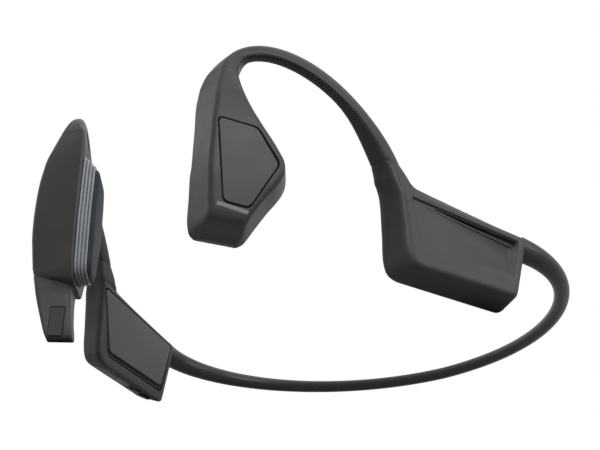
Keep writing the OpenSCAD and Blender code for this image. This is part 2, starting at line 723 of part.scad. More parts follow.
neckband_sleeve();
memory_wire();
neckband_cable();
left_neckband_sleeve();
left_module_housing();
left_module_cover();
left_outer_panel();
battery_cell();
battery_board();
left_cover_seal();
left_ear_hook();
left_hook_wire();
left_hook_cable();
left_pod_housing();
multifunction_button();
button_gasket();
button_switch();
left_pod_board();
left_yoke();
left_magnet();
left_bellows();
left_contact_pad();
left_voice_coil();
right_neckband_sleeve();
right_module_housing();
right_module_cover();
right_outer_panel();
main_board();
usb_socket();
port_cover();
volume_up_button();
volume_down_button();
volume_up_switch();
volume_down_switch();
right_cover_seal();
right_ear_hook();
right_hook_wire();
right_hook_cable();
right_pod_housing();
right_pod_plate();
right_pod_board();
right_yoke();
right_magnet();
right_bellows();
right_contact_pad();
right_voice_coil();
microphone();
microphone_grille();
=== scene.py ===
# %% [markdown]
# # Bone conduction headphones, dressed in Blender
# The imported CAD model is the fixed frame: its bodies and joints say where each piece sits and how
# it moves. This lesson puts smooth moulded skins, a neckband and soft bellows round it.

# %% Load the frame
import json
import math

import bmesh
import bpy
import numpy as np
from mathutils import Matrix, Vector
from mathutils.bvhtree import BVHTree

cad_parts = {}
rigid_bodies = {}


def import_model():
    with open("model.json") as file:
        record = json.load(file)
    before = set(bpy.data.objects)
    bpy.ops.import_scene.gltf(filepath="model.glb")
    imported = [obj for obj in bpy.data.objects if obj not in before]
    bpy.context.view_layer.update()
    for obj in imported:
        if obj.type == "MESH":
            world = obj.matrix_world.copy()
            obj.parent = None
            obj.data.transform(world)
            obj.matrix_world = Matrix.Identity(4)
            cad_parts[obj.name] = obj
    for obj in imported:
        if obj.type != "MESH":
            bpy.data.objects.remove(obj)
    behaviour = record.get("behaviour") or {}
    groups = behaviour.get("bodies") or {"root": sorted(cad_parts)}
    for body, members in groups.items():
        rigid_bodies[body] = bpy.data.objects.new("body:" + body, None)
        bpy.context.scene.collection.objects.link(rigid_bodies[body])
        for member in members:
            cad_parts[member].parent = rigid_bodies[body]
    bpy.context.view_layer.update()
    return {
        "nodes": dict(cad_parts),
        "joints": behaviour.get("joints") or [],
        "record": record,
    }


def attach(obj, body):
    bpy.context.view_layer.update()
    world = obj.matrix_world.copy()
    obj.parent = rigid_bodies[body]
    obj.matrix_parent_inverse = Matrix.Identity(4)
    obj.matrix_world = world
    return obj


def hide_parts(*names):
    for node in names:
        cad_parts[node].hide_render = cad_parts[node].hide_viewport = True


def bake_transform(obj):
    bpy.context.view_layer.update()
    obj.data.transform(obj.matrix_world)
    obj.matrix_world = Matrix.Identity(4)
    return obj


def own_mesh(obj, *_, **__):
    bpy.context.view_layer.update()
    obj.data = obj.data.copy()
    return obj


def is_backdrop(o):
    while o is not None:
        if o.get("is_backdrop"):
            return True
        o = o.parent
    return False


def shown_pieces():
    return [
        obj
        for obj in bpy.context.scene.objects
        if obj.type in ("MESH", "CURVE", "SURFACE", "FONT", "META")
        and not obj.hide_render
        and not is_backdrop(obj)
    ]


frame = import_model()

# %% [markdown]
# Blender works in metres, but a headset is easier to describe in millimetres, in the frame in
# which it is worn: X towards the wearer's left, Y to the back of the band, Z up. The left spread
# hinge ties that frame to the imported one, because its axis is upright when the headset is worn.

joints = {joint["name"]: joint for joint in frame["joints"]}
SIDES = {"left": 1.0, "right": -1.0}
HINGE_WORN = np.array([45.9428, -13.2334, -0.0084])


def turn(axis, degrees):
    return np.array(Matrix.Rotation(math.radians(degrees), 3, axis))


upright = joints["left_spread"]["axis"]
REST_PITCH = math.degrees(math.atan2(upright[1], upright[2]))
REST_TURN = turn("X", -REST_PITCH)
REST_SHIFT = np.array(joints["left_spread"]["pos_m"]) * 1000 - REST_TURN @ HINGE_WORN


def worn(points, side="left"):
    """Points in worn millimetres, on one side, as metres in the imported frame."""
    points = np.asarray(points, float) * np.array([SIDES[side], 1, 1])
    return (points @ REST_TURN.T + REST_SHIFT) / 1000


print(f"the headset rests {REST_PITCH:.2f} degrees nose down")

# %% [markdown]
# The camera comes first, since every later choice is judged through it. The photograph looks up
# at the headset from its front left with a long lens. Its place was solved from features that the
# photograph and the solids share, and the image points below keep that solution honest.

# %% Camera
WIDTH, HEIGHT = 600, 450
CAMERA_AT = [366.11, -348.46, -227.40]
CAMERA_AXES = [[0.6834, 0.7069, 0.1823], [0.2253, -0.4417, 0.8684], [0.6944, -0.5524, -0.4611]]
FOCAL_PIXELS = 2100
SENSOR = 36

camera_data = bpy.data.cameras.new("camera")
camera_data.sensor_fit = "AUTO"
camera_data.sensor_width = SENSOR
camera_data.lens = FOCAL_PIXELS / WIDTH * SENSOR
camera_data.clip_start = 0.05
camera_data.clip_end = 20
camera = bpy.data.objects.new("camera", camera_data)
bpy.context.scene.collection.objects.link(camera)
bpy.context.scene.camera = camera
axes = np.array([REST_TURN @ np.array(axis) for axis in CAMERA_AXES])
right = axes[0] / np.linalg.norm(axes[0])
back = axes[2] - right * (axes[2] @ right)
back /= np.linalg.norm(back)
up = np.cross(back, right)
place = Matrix.Identity(4)
for column, axis in enumerate((right, up, back)):
    for row in range(3):
        place[row][column] = axis[row]
place.translation = Vector(worn([CAMERA_AT])[0])
camera.matrix_world = place
print("camera at", [round(v, 4) for v in place.translation])

# %% Image points of the photograph
POINTS = {
    "left_extent": (32, None),
    "right_extent": (569, None),
    "top_extent": (None, 46),
    "bottom_extent": (None, 403),
    "left_hook_top": (263, 46),
    "left_hook_pod_seam": (224.5, 68.9),
    "plate_upper_front": (218.7, 115.1),
    "plate_rear": (279.6, 162.8),
    "plate_lower_rear": (249.5, 206),
    "strip_front": (216.8, 202.8),
    "strip_middle": (232.4, 207.9),
    "strip_rear": (248.3, 213),
    "left_pod_bottom": (233, 251),
    "left_hook_module_seam": (398.9, 167),
    "left_module_low_corner": (389.5, 277),
    "left_module_upper_rear": (525.8, 241.5),
    "right_hook_top": (78, 118),
    "right_chin_bottom": (47.8, 339),
    "right_hook_module_seam": (110.8, 267.3),
    "right_module_low_corner": (147.6, 402.9),
}

# %% [markdown]
# Most skins here are lofts: a closed outline that changes along its way, as a plastics designer
# draws a housing through sections. By hand that is a circle pushed onto the first section and
# extruded to each next one, and a helper does the same for any list of rings.

# %% Sections and lofts
MOST_OF_EDGE = 0.45
RING_STEP = 0.8


def rounded(points, length, steps=5):
    """A closed outline with each corner rounded over a length, or over its own length."""
    points = [np.asarray(p, float) for p in points]
    outline = []
    for i, (q, most) in enumerate(zip(points, np.broadcast_to(length, len(points)))):
        before, after = points[i - 1] - q, points[(i + 1) % len(points)] - q
        a = before / np.linalg.norm(before) * min(most, np.linalg.norm(before) * MOST_OF_EDGE)
        b = after / np.linalg.norm(after) * min(most, np.linalg.norm(after) * MOST_OF_EDGE)
        for t in np.linspace(0, 1, steps + 1):
            outline.append(q + a * (1 - t) ** 2 + b * t ** 2)
    return np.array(outline)


def resample(ring, count):
    """The same closed ring with points evenly spaced along it, from its first point."""
    closed = np.vstack([ring, ring[:1]])
    lengths = np.concatenate([[0], np.cumsum(np.linalg.norm(np.diff(closed, axis=0), axis=1))])
    places = np.linspace(0, lengths[-1], count, endpoint=False)
    return np.stack([np.interp(places, lengths, closed[:, k]) for k in range(3)], 1)


def moved_in(points, distance):
    """An outline with each edge moved in."""
    p = np.asarray(points, float)
    before, after = p - np.roll(p, 1, 0), np.roll(p, -1, 0) - p
    before /= np.linalg.norm(before, axis=1)[:, None]
    after /= np.linalg.norm(after, axis=1)[:, None]
    area = np.sum(p[:, 0] * np.roll(p[:, 1], -1) - np.roll(p[:, 0], -1) * p[:, 1])
    middle = np.stack([-before[:, 1] - after[:, 1], before[:, 0] + after[:, 0]], 1)
    middle *= math.copysign(1, area)
    return p + middle * (2 * distance / np.sum(middle ** 2, axis=1))[:, None]


def filled(rings, most=RING_STEP):
    """More rings between the given ones, on a curve that never overshoots them."""
    rings = np.array(rings, float)
    lengths = np.linalg.norm(np.diff(rings, axis=0), axis=2).mean(1)
    stations = np.concatenate([[0], np.cumsum(lengths)])
    slopes = np.diff(rings, axis=0) / lengths[:, None, None]
    tangents = np.zeros_like(rings)
    tangents[0], tangents[-1] = slopes[0], slopes[-1]
    same = slopes[:-1] * slopes[1:] > 0
    w1 = (2 * lengths[1:] + lengths[:-1])[:, None, None]
    w2 = (lengths[1:] + 2 * lengths[:-1])[:, None, None]
    with np.errstate(divide="ignore", invalid="ignore"):
        mean = (w1 + w2) / (w1 / slopes[:-1] + w2 / slopes[1:])
    tangents[1:-1] = np.where(same, mean, 0)
    result = []
    for i, length in enumerate(lengths):
        pieces = max(1, math.ceil(length / most))
        for k in range(pieces):
            t = k / pieces
            result.append(
                (2 * t ** 3 - 3 * t ** 2 + 1) * rings[i] + (t ** 3 - 2 * t ** 2 + t) * length * tangents[i]
                + (3 * t ** 2 - 2 * t ** 3) * rings[i + 1] + (t ** 3 - t ** 2) * length * tangents[i + 1])
    return result + [rings[-1]]


def only(*objects):
    """Selects these objects alone, the last one active."""
    if bpy.context.mode != "OBJECT":
        bpy.ops.object.mode_set(mode="OBJECT")
    bpy.ops.object.select_all(action="DESELECT")
    for obj in objects:
        obj.select_set(True)
    bpy.context.view_layer.objects.active = objects[-1]


MARK = "place_on_skin"


def loft(name, rings, marks=None):
    """A circle pushed onto the first ring and extruded to each next one, then capped."""
    count = len(rings[0])
    only(*bpy.data.objects[:1])
    bpy.ops.object.select_all(action="DESELECT")
    bpy.ops.mesh.primitive_circle_add(vertices=count, radius=0.01)
    obj = bpy.context.active_object
    obj.name = obj.data.name = name
    bpy.ops.object.mode_set(mode="EDIT")
    bpy.ops.mesh.select_mode(type="VERT")
    bpy.ops.mesh.select_all(action="SELECT")
    mesh = bmesh.from_edit_mesh(obj.data)
    if marks is not None:
        mesh.verts.layers.float_vector.new(MARK)
    mesh.verts.ensure_lookup_table()
    first = line = list(range(count))
    for k, ring in enumerate(rings):
        if k > 0:
            bpy.ops.mesh.extrude_edges_move()
            mesh = bmesh.from_edit_mesh(obj.data)
            mesh.verts.ensure_lookup_table()
            mesh.verts.index_update()
            line = [next(e.other_vert(mesh.verts[i]).index for e in mesh.verts[i].link_edges
                         if e.other_vert(mesh.verts[i]).select) for i in line]
        for i, point in zip(line, ring):
            mesh.verts[i].co = point
        if marks is not None:
            layer = mesh.verts.layers.float_vector[MARK]
            for i, mark in zip(line, marks[k]):
                mesh.verts[i][layer] = mark
    bpy.ops.mesh.edge_face_add()
    bpy.ops.mesh.select_all(action="DESELECT")
    mesh = bmesh.from_edit_mesh(obj.data)
    mesh.verts.ensure_lookup_table()
    for i in first:
        mesh.verts[i].select = True
    mesh.select_flush(True)
    bpy.ops.mesh.edge_face_add()
    bpy.ops.mesh.select_all(action="SELECT")
    bpy.ops.mesh.normals_make_consistent(inside=False)
    bpy.ops.object.mode_set(mode="OBJECT")
    return obj


def change(obj, kind, **settings):
    """Adds a modifier with these settings and applies it."""
    only(obj)
    bpy.ops.object.modifier_add(type=kind)
    modifier = obj.modifiers[-1]
    for key, value in settings.items():
        setattr(modifier, key, value)
    bpy.ops.object.modifier_apply(modifier=modifier.name)


def carve(obj, tool, operation="DIFFERENCE"):
    """A boolean with a tool, which is then thrown away."""
    change(obj, "BOOLEAN", object=tool, operation=operation, solver="EXACT")
    only(tool)
    bpy.ops.object.delete()
    only(obj)


def smooth(obj, degrees=None):
    only(obj)
    if degrees is None:
        bpy.ops.object.shade_smooth()
    else:
        bpy.ops.object.shade_smooth_by_angle(angle=math.radians(degrees))


# %% Frames of the modules and pods
MODULE_AT = np.array([64, -43.9, 0])
MODULE_TOE = 17.5
MODULE_LENGTH = 27
FRONT_HEIGHT, REAR_HEIGHT = 17.7, 15.5
HALF_THICK = 4
POD_AT = np.array([30.1, -109.1, 0])
MODULE_TURN = turn("Z", -MODULE_TOE)
POD_TURN = turn("Z", -41) @ turn("Y", 7.2)
BASE_SLANT = 2.1
BASE_TURN = (MODULE_TURN @ turn("X", math.degrees(math.atan((FRONT_HEIGHT - REAR_HEIGHT) / MODULE_LENGTH)))
             @ turn("Y", -math.degrees(math.atan(BASE_SLANT / (2 * HALF_THICK)))))
BASE_AT = MODULE_AT - np.array([0, 0, REAR_HEIGHT])


def in_module(points):
    return MODULE_AT + np.asarray(points, float) @ MODULE_TURN.T


def in_pod(points):
    return POD_AT + np.asarray(points, float) @ POD_TURN.T


def in_base(points):
    return BASE_AT + np.asarray(points, float) @ BASE_TURN.T


def slab(name, x0, x1, outline, into, side):
    """A plain prism along a frame's X, used as a cutting tool."""
    rings = [[[x, *p] for p in outline] for x in (x0, x1)]
    return loft(name, [worn(into(ring), side) for ring in rings])


VOXEL = 0.16


def soften(obj, passes=3, keep=0.4):
    """Gives a carved solid the small even radii of a moulding, and thins its mesh."""
    change(obj, "REMESH", mode="VOXEL", voxel_size=VOXEL / 1000, use_smooth_shade=True)
    change(obj, "SMOOTH", factor=0.5, iterations=passes)
    change(obj, "DECIMATE", ratio=keep)
    smooth(obj)
    print(obj.name, len(obj.data.polygons), "faces")


# %% [markdown]
# ## Pods
# Each pod is a hard shell with a soft transducer pad on its cheek side. Its outer face is one
# clean plane with a pentagonal plate let into it, so the plate's edges are carved with a boolean
# and the whole shell is then remeshed finely and smoothed, which gives every edge the small
# radius of an injection moulding. The right pod runs down into a chin with the microphone.

# %% Pod shells
POD_OUT, POD_IN = 4.88, -7.32
PLATE_FACE, RECESS_FLOOR, CAVITY_FLOOR = 4.48, 2.68, 1.48
PLATE = [[-0.6, 7.1], [4.4, -12.3], [10.3, -12.8], [14.9, -1.6], [8.4, 6.1]]
CAVITY = [[0.8, 8], [1.6, -1], [3.4, -12.8], [9.4, -12.8], [13.8, -2.8], [7, 8]]
CLEARANCE = 0.25
CHIN_TOP, CHIN_LENGTH = -15.8, 17
NECK_MIDDLE = [-3.1, -1.6]
POD_NECK = 20.2
NECK_CORNERS = [[3.7, 0.6], [3.7, -3], [-3.7, -2.8], [-3.7, 5.6]]
NECK_SLOPES, NECK_DROP = [0.35, 0.3], 0.4


def pod_section(z, x_out, x_in, front_out, rear_out, rear_in, front_in, length=1.3):
    outline = rounded([[x_out, front_out], [x_out, rear_out], [x_in, rear_in], [x_in, front_in]], length)
    return [[x, y, z] for x, y in outline]


def neck_ring():
    """The seam with the hook: it slants down from the outer front to the inner rear."""
    return [[NECK_MIDDLE[0] + x, NECK_MIDDLE[1] - y,
             POD_NECK + NECK_SLOPES[0] * x + NECK_SLOPES[1] * y - NECK_DROP]
            for x, y in rounded(NECK_CORNERS, 1.5)]


POD_RINGS = [
    pod_section(-18.8, POD_IN + 1.8, POD_IN, 0.2, 8.2, 8.6, -1.4, 0.7),
    pod_section(-18, POD_IN + 4, POD_IN, 0.4, 9.2, 9.8, -2.7, 1),
    pod_section(-15.8, POD_OUT - 1.6, POD_IN, 1.7, 10.4, 11, -3.7),
    pod_section(-14.6, POD_OUT - 1, POD_IN, 1.7, 10.9, 11.5, -4),
    pod_section(-10, POD_OUT - 0.4, POD_IN, 0.8, 13.1, 13.6, -4.6),
    pod_section(-4.4, POD_OUT, POD_IN, -0.3, 16.1, 16.3, -5.4),
    pod_section(-3, POD_OUT, POD_IN, -0.5, 16.4, 16.6, -5.5),
    pod_section(-1, POD_OUT, POD_IN, -0.8, 16, 16.5, -5.7),
    pod_section(2, POD_OUT - 0.1, POD_IN, -1.1, 14, 14.6, -6.1),
    pod_section(8, POD_OUT - 0.6, POD_IN, -1.8, 8.8, 9.6, -6.9),
    pod_section(11, POD_OUT - 1.1, POD_IN, -2, 6.4, 6.9, -7.4),
    pod_section(14, POD_OUT - 1.7, POD_IN, -2.2, 4.3, 4.7, -7.7),
    pod_section(17, POD_OUT - 2.8, POD_IN + 0.2, -2.3, 2.6, 2.8, -7.7),
    neck_ring()]


def chin_section(share, x_out, x_in, front, rear, length=1.0):
    return pod_section(CHIN_TOP - CHIN_LENGTH * share, x_out, x_in, front, rear, rear, front, length)


CHIN_RINGS = [
    chin_section(1, -1.7, -8, 1, 3.4, 0.4),
    chin_section(0.97, -1.4, -8, 0.6, 4.2, 0.4),
    chin_section(0.7, 0.2, -7.3, 0.1, 5, 0.6),
    chin_section(0.35, 2, -6.6, 0, 6.6),
    chin_section(0.1, 3.1, -6.3, 0.9, 8.6),
    chin_section(0, 3.6, -6.3, 1.6, 9.4)]
WINDOW = [-3.9, CHIN_TOP - CHIN_LENGTH * 0.76, 3.6, 7.6]
WINDOW_SEAT = 0.8
PLATE_CORNER = 1.3

shells = {}
for side in SIDES:
    shell = loft(f"{side}_pod_shell", [worn(in_pod(r), side) for r in filled(POD_RINGS)])
    if side == "right":
        chin = loft("chin_tool", [worn(in_pod(r), side) for r in filled(CHIN_RINGS)])
        carve(shell, chin, "UNION")
        x, z, width, height = WINDOW
        window = [[[x + a * width / 2, y, z + b * height / 2]
                   for a, b in ((-1, -1), (1, -1), (1, 1), (-1, 1))] for y in (-4, WINDOW_SEAT)]
        carve(shell, loft("window_tool", [worn(in_pod(r), side) for r in window]))
    carve(shell, slab("cavity_tool", POD_IN - 2, CAVITY_FLOOR, CAVITY, in_pod, side))
    recess = rounded(moved_in(PLATE, -CLEARANCE), PLATE_CORNER)
    carve(shell, slab("plate_tool", RECESS_FLOOR, POD_OUT + 2, recess, in_pod, side))
    soften(shell)
    shells[side] = shell

# %% [markdown]
# The plate on the left pod is the multifunction button, and the right one has a blank twin. Each
# has a fine rounded edge that catches the light.

# %% Plates
def cushion(name, outline, into, side, levels, shares=()):
    """A closed form through copies of one outline: (X, inset) for each level, then shares of the last."""
    rings = []
    for x, inset in levels:
        ring = moved_in(outline, inset) if inset else np.asarray(outline)
        rings.append(worn(into([[x, *p] for p in ring]), side))
    middle = ring.mean(0)
    for share in shares:
        rings.append(worn(into([[x, *(middle + (p - middle) * share)] for p in ring]), side))
    return loft(name, rings)


def edge_round(face, way, radius, steps=5):
    """Levels of a quarter round that ends at a face: way is +1 where the face looks along X."""
    turns = [math.radians(a) for a in np.linspace(0, 90, steps + 1)]
    return [(face - way * radius * (1 - math.sin(a)), radius * (1 - math.cos(a))) for a in turns]


PLATE_LIFT, PLATE_EDGE = 0.6, 0.16
plates = {}
for side, name in (("left", "multifunction_plate"), ("right", "right_pod_face_plate")):
    outline = rounded(PLATE, PLATE_CORNER, 9)
    levels = [(RECESS_FLOOR + PLATE_LIFT, 0.0)] + edge_round(PLATE_FACE, 1, PLATE_EDGE)
    plates[side] = cushion(name, outline, in_pod, side, levels)
    smooth(plates[side], 50)

# %% Bellows
BELLOWS_DEPTH = 3.0
BELLOWS_TOP = 13.8
PAD_IN = POD_IN - BELLOWS_DEPTH
FOLDS, FOLD_STEPS, FOLD_INSET, FOLD_HEIGHT = 4, 6, 1.1, 0.7
THINNING = [(0.33, -1, 16), (0.3, 9.6, 5)]


def bellows_outline(d):
    return np.array([[-6.4, BELLOWS_TOP - d], [-5.6, -4], [-3.6, -15.8], [-1.4, -17.6],
                     [6 - d * 0.3, -17.2], [8.4 - d * 0.4, -15.8], [15.2 - d * 0.7, -3],
                     [8.6 - d * 0.3, 7.8], [4 + d * 0.45, BELLOWS_TOP - d]])


def in_pad(points):
    """The bellows and pad thin out towards the rear, but still cover the coil's post.

    Each step of THINNING is a share, the Y where it starts and the length over which it grows.
    """
    points = np.array(points, float)
    thinner = sum(share * np.clip((points[:, 1] - start) / length, 0, 1) for share, start, length in THINNING)
    points[:, 0] = POD_IN + (points[:, 0] - POD_IN) * (1 - thinner)
    return in_pod(points)


bellows = {}
for side in SIDES:
    rings = []
    pitch = BELLOWS_DEPTH / (2 * FOLDS - 1)
    for k in range((2 * FOLDS - 1) * FOLD_STEPS + 1):
        depth = k / FOLD_STEPS * pitch
        crest = 0.5 + 0.5 * math.cos(math.pi * (depth / pitch - 0.5))
        step = math.floor(depth / (2 * pitch)) * 2 * pitch
        inset = FOLD_INSET - FOLD_HEIGHT * min(1, 1.35 * crest ** 0.7)
        ring = rounded(moved_in(bellows_outline(step * 0.7 + depth * 0.3), inset), 1.2, 3)
        rings.append(worn(in_pad([[POD_IN - depth, *p] for p in ring]), side))
    bellows[side] = loft(f"{side}_ribbed_bellows", rings)
    smooth(bellows[side], 60)

# %% Contact pads
PAD_LIP, PAD_DOME, PAD_ROLL = 0.15, 0.85, 1.5
pads = {}
for side in SIDES:
    outline = rounded(moved_in(bellows_outline(BELLOWS_DEPTH), 0.8), 1.6, 4)
    levels = [(PAD_IN, 0.1), (PAD_IN - PAD_LIP, 0.0)]
    for a in range(10, 91, 10):
        rise, roll = math.sin(math.radians(a)), 1 - math.cos(math.radians(a))
        levels.append((PAD_IN - PAD_LIP - PAD_DOME * rise, PAD_ROLL * roll))
    pads[side] = cushion(f"{side}_soft_pad", outline, in_pad, side, levels, (0.75, 0.5, 0.25))
    smooth(pads[side])

# %% [markdown]
# ## Ear hooks
# A hook is a sprung wire in soft silicone, an even oval over the ear that flows into the pod's
# neck and the module's stem. Its under side has rows of small staggered dimples that let air to
# the skin. They are finer than any mesh needs, so each point of the skin carries its place along
# and across the hook as an attribute, and the silicone's finish presses the dimples in from that
# and paints shade into each dimple by darkening its colour.

# %% Hook path
STEM_RAKE = MODULE_LENGTH + 9
SEAM_HEIGHT = 6.5
ARCH_FALL = math.radians(53.5)
HOOK_WIDTH, HOOK_DEPTH = 4.4, 3.5
HOOK_CORNERS = [[HOOK_WIDTH * 0.32, HOOK_DEPTH * 0.5], [HOOK_WIDTH * 0.5, -HOOK_DEPTH * 0.45],
                [-HOOK_WIDTH * 0.5, -HOOK_DEPTH * 0.45], [-HOOK_WIDTH * 0.27, HOOK_DEPTH * 0.54]]
seam_middle = in_module([[0, -STEM_RAKE, SEAM_HEIGHT]])[0]
away = MODULE_TURN @ np.array([0, math.cos(ARCH_FALL), -math.sin(ARCH_FALL)])
ARCH = [in_pod([[NECK_MIDDLE[0], NECK_MIDDLE[1], POD_NECK]])[0],
        in_pod([[NECK_MIDDLE[0] - 0.7, NECK_MIDDLE[1] + 0.1, POD_NECK + 13.7]])[0],
        seam_middle - away * 26.2, seam_middle]


def module_height(x, y):
    share = -y / MODULE_LENGTH
    return REAR_HEIGHT * (1 - share) + FRONT_HEIGHT * share - x / (2 * HALF_THICK) * BASE_SLANT


INNER_FRONT_ROUNDER = 1.5


def module_section(z, out, inn, rear_out, front_out, front_in, rear_in, length=1.5):
    """A level through a module, with its inner front corner rounder than the others."""
    corners = [[out[0], rear_out], [out[1], front_out], [inn[1], front_in], [inn[0], rear_in]]
    outline = rounded(corners, [length, length, length * INNER_FRONT_ROUNDER, length])
    return [[x, y, z * module_height(x, y) if z < 0 else z] for x, y in outline]


STEM_RING = module_section(SEAM_HEIGHT, [2.7, 2.7], [-3.7, -3.7], -STEM_RAKE + 2.1,
                           -STEM_RAKE - 1.9, -STEM_RAKE - 3.3, -STEM_RAKE + 1.9)


def ease(t):
    s = min(1, max(0, t))
    return s * s * (3 - 2 * s)


def along(path, t):
    a, b, c, d = path
    return a * (1 - t) ** 3 + b * 3 * t * (1 - t) ** 2 + c * 3 * t * t * (1 - t) + d * t ** 3


def speed(path, t):
    a, b, c, d = path
    return 3 * ((b - a) * (1 - t) ** 2 + (c - b) * 2 * t * (1 - t) + (d - c) * t * t)


def hook_frame(t):
    way = speed(ARCH, min(1, max(0, t)))
    way /= np.linalg.norm(way)
    out = POD_TURN[:, 0] * (1 - ease(t)) + MODULE_TURN[:, 0] * ease(t)
    side = out - way * (out @ way)
    side /= np.linalg.norm(side)
    return along(ARCH, t), side, np.cross(side, way)


NECK_FLOW, NECK_EASE, STEM_FLOW = 0.24, 1.6, 0.3
HOOK_ROUNDING = 1.9


def hook_ring(t, inset=0.0):
    """The hook's section: the pod's neck at its start, the module's stem at its end, an oval between."""
    middle, side, over = hook_frame(t)
    a, b = max(0, 1 - t / NECK_FLOW) ** NECK_EASE, ease((t - 1 + STEM_FLOW) / STEM_FLOW)
    plain = rounded(HOOK_CORNERS, HOOK_ROUNDING)
    body = middle + plain[:, :1] * side + plain[:, 1:] * over
    ring = body * (1 - a - b) + (in_pod(neck_ring()) + middle - ARCH[0]) * a
    ring = ring + (in_module(STEM_RING) + middle - ARCH[3]) * b
    centre = ring.mean(0)
    return centre + (ring - centre) * (1 - inset)


# %% Hook skins
HOOK_STATIONS = 120
HOOK_POINTS = 56
END_INSET, END_RUN = 0.03, 0.3
DIMPLE_FROM, DIMPLE_TO, DIMPLE_FADE = 0.2, 0.86, 0.03


def hook_skin(side):
    """The rings, and for each point how far along and across it lies, and whether dimples go there."""
    stations = np.linspace(0, 1, HOOK_STATIONS + 1)
    middles = np.array([along(ARCH, t) for t in stations])
    gone = np.concatenate([[0], np.cumsum(np.linalg.norm(np.diff(middles, axis=0), axis=1))])
    rings, marks = [], []
    for i, t in enumerate(stations):
        end = min(gone[i], gone[-1] - gone[i])
        ring = resample(hook_ring(t, END_INSET * max(0, 1 - end / END_RUN)), HOOK_POINTS)
        middle, out, over = hook_frame(t)
        under = (ring - middle) @ over < -HOOK_DEPTH * 0.3
        under = under * ease((t - DIMPLE_FROM) / DIMPLE_FADE) * ease((DIMPLE_TO - t) / DIMPLE_FADE)
        rings.append(worn(ring, side))
        marks.append(np.stack([np.full(len(ring), gone[i]), (ring - middle) @ out, under], 1))
    return rings, marks


hooks = {}
for side in SIDES:
    hooks[side] = loft(f"{side}_hook_skin", *hook_skin(side))
    smooth(hooks[side], 60)
    print(hooks[side].name, len(hooks[side].data.polygons), "faces")

# %% [markdown]
# ## Modules
# The battery sits behind the left ear and the electronics behind the right one. The shell is
# softened like the pods. On its outer face a shallow wedge is let in, deepest along its top and
# rear edges, and the panel in it fades out towards the front.

# %% Module shells
TIP = -MODULE_LENGTH


def module_level(z, rear_under, front_under, rear, front_out, front_in, length=1.5):
    """A section whose outer front draws in with height, while its inner front stays upright."""
    return module_section(z, [HALF_THICK - rear_under, HALF_THICK - front_under],
                          [rear_under - HALF_THICK, (0 if z > 0 else front_under) - HALF_THICK],
                          rear, front_out, front_in, rear, length)


MODULE_RINGS = [
    STEM_RING,
    module_section(4.2, [3.1, 3.1], [-3.9, -3.9], TIP - 4.7, TIP - 9.1, TIP - 11.2, TIP - 4.7),
    module_section(2.7, [3.2, 3.4], [-3.8, -4], TIP - 3.2, TIP - 8.3, TIP - 10.6, TIP - 3.2),
    module_level(1.9, 0.8, 0.4, TIP - 1.4, TIP - 7.8, TIP - 10),
    module_level(1.5, 2.6, 0.3, -1, TIP - 7.6, TIP - 9.8),
    module_level(0.8, 1, 0.2, -0.4, TIP - 7.2, TIP - 9.4),
    module_level(-0.01, 0.1, 0, 0, TIP - 6.7, TIP - 8.9),
    module_level(-0.45, 0, 0, 0, TIP - 4, TIP - 6.6),
    module_level(-0.84, 0, 0, 0, TIP - 1.7, TIP - 4.7),
    module_level(-0.94, 0, 0, -0.1, TIP - 0.4, TIP - 3.4),
    module_level(-0.983, 0.2, 0.2, -0.6, TIP + 0.9, TIP - 1.6, 1.4),
    module_level(-0.995, 0.7, 0.7, -1.4, TIP + 2.4, TIP, 1.2)]
COVER_SEAT, SEAL, PANEL_DEPTH = 1.1, 0.3, 0.5
CAVITY_IN, CAVITY_OUT = -HALF_THICK + COVER_SEAT, HALF_THICK - PANEL_DEPTH - 1.5
OPENING = [[-3.2, -1.5], [-3.4, 4.2 - REAR_HEIGHT], [TIP + 0.9, 4.4 - FRONT_HEIGHT], [TIP - 5.5, -1.5]]
COVER = [[-2.2, -0.4], [-2.5, 3.2 - REAR_HEIGHT], [TIP, 3.4 - FRONT_HEIGHT], [TIP - 7.8, 0.2]]
COVER_GAP = [[-1.9, -0.1], [-1.6, 1.5 - REAR_HEIGHT], [TIP - 0.8, 1.8 - FRONT_HEIGHT], [TIP - 8.2, 0.5]]
PANEL = [[-2.4, -1], [-2.4, 5.6 - REAR_HEIGHT], [TIP + 1.6, 5.4 - FRONT_HEIGHT], [TIP - 3.4, -0.8]]
SLOT = [[-2.6, -1.3], [-2.9, -2.7], [TIP - 1, -1.35], [TIP - 1, -1.25]]
SLOT_DEPTH = 1.5
PORT_END, FLAP_LENGTH, FLAP_WIDTH, FLAP_THICK, FLAP_SEAT = -11.2, 15, 4.6, 0.9, 1.1
VOLUME_LENGTH, VOLUME_WIDTH, VOLUME_PROUD = 3.8, 3.2, 0.3
VOLUME_ENDS = [PORT_END + 0.9 + VOLUME_LENGTH, PORT_END + 0.9 + 2 * VOLUME_LENGTH + 2 * CLEARANCE + 0.3]


def pill(length, width, steps=14):
    """A strip's outline with round ends, from Y 0 forwards, as X and Y."""
    outline = []
    for turned, centre in ((0, -width / 2), (180, width / 2 - length)):
        for a in map(math.radians, np.linspace(turned, turned + 180, steps)):
            outline.append([width / 2 * math.cos(a), centre + width / 2 * math.sin(a)])
    return np.array(outline)


def standing(name, outline, end, side, levels):
    """A closed form up from the module's base: (height, inset) for each level."""
    def upright(points):
        return in_base([[x, y + end, z] for z, x, y in points])
    return cushion(name, outline, upright, side, levels)


